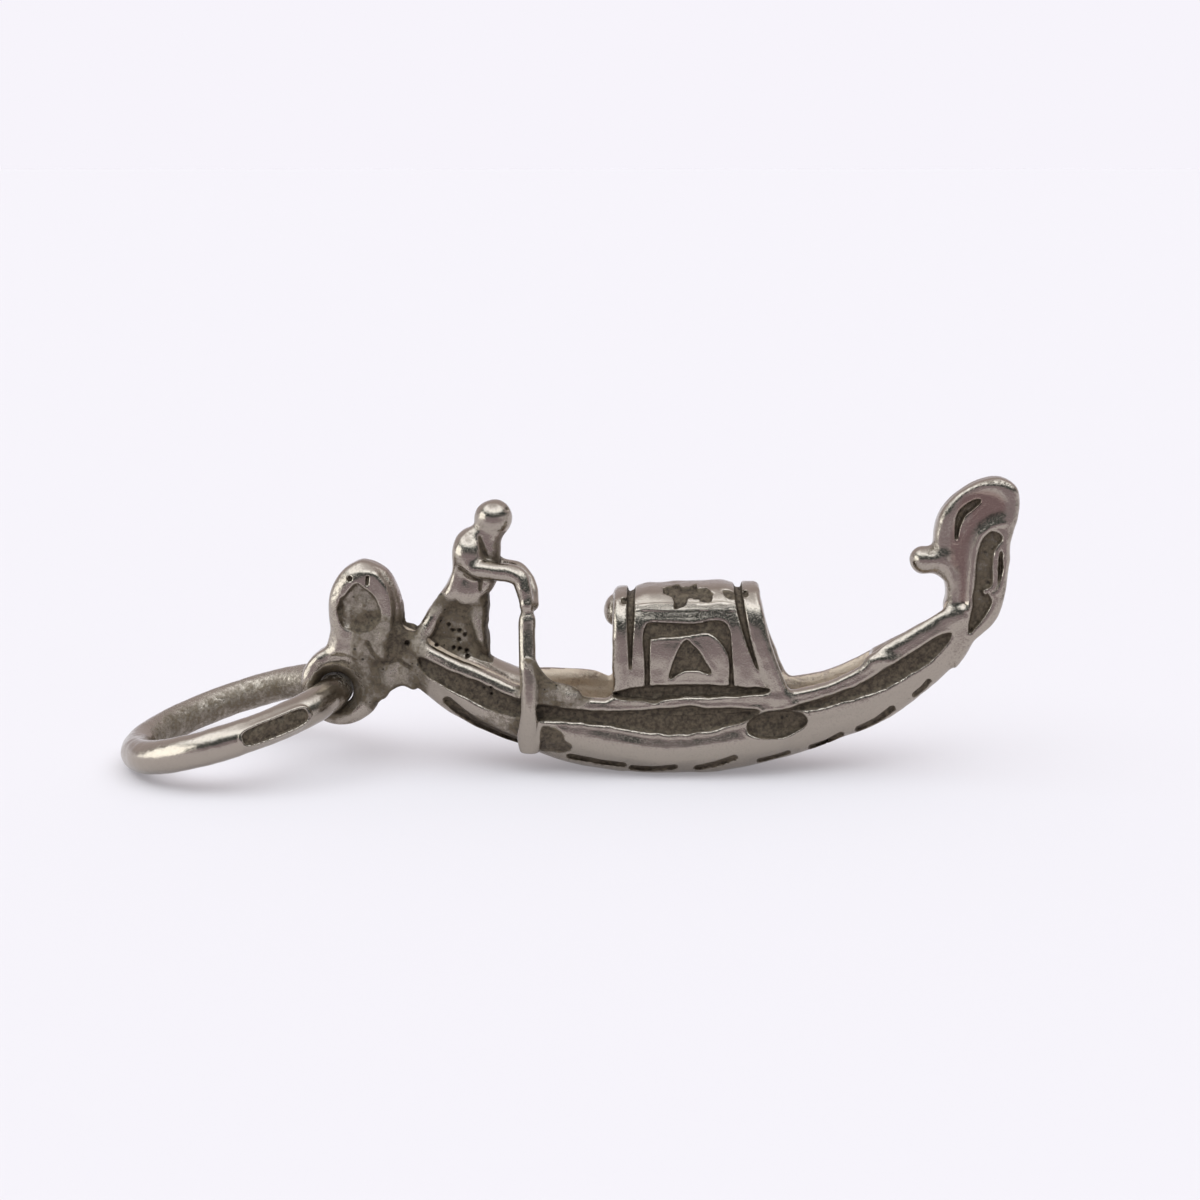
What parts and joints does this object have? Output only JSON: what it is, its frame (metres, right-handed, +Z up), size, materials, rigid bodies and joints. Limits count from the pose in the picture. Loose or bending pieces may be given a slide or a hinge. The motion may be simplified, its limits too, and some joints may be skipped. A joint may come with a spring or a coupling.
{
  "type": "gondola boat charm",
  "caption": "Cast silver charm of a gondola with a covered cabin, a standing rower with an oar, a curled bow iron and a loose jump ring through the stern eye.",
  "frame": {"origin": "middle of the small flat on the keel that the charm stands on", "axes": "+X to the bow, +Y away from the oar's side, +Z up"},
  "size_m": [0.0263, 0.0072, 0.0088],
  "materials": {
    "polished_silver": "polished silver, grey-brown oxide left in the recesses",
    "hull_silver": "polished silver worn smooth, oxide in the chased grooves",
    "cast_silver": "rough cast silver, oxidised and pitted",
    "ring_silver": "polished silver wire, finely scratched"
  },
  "bodies": {
    "charm": {"hull_shell": "hull_silver", "gunwale_near": "polished_silver", "gunwale_far": "polished_silver", "aft_deck": "hull_silver", "fore_deck": "hull_silver", "bow_iron": "polished_silver", "bow_tooth": "polished_silver", "stern_eye": "polished_silver", "stern_scroll": "polished_silver", "stern_neck": "cast_silver", "cabin_side_near": "polished_silver", "cabin_roof": "polished_silver", "cabin_side_far": "polished_silver", "cabin_rear_band": "polished_silver", "cabin_front_band": "polished_silver", "cabin_rear_wall": "cast_silver", "gondolier_head": "polished_silver", "gondolier_torso": "polished_silver", "gondolier_arm_near": "polished_silver", "gondolier_arm_far": "polished_silver", "gondolier_leg_aft": "polished_silver", "gondolier_leg_fore": "polished_silver", "gondolier_web": "cast_silver", "oar": "polished_silver", "oar_rest": "polished_silver"},
    "ring": {"jump_ring": "ring_silver"}
  },
  "joints": [
    {"name": "ring_swing", "type": "hinge", "parent": "charm", "child": "ring", "pos_m": [-0.0096, 0, 0.0023], "axis": [0, 1, 0], "range_deg": [-139, 138]}
  ]
}
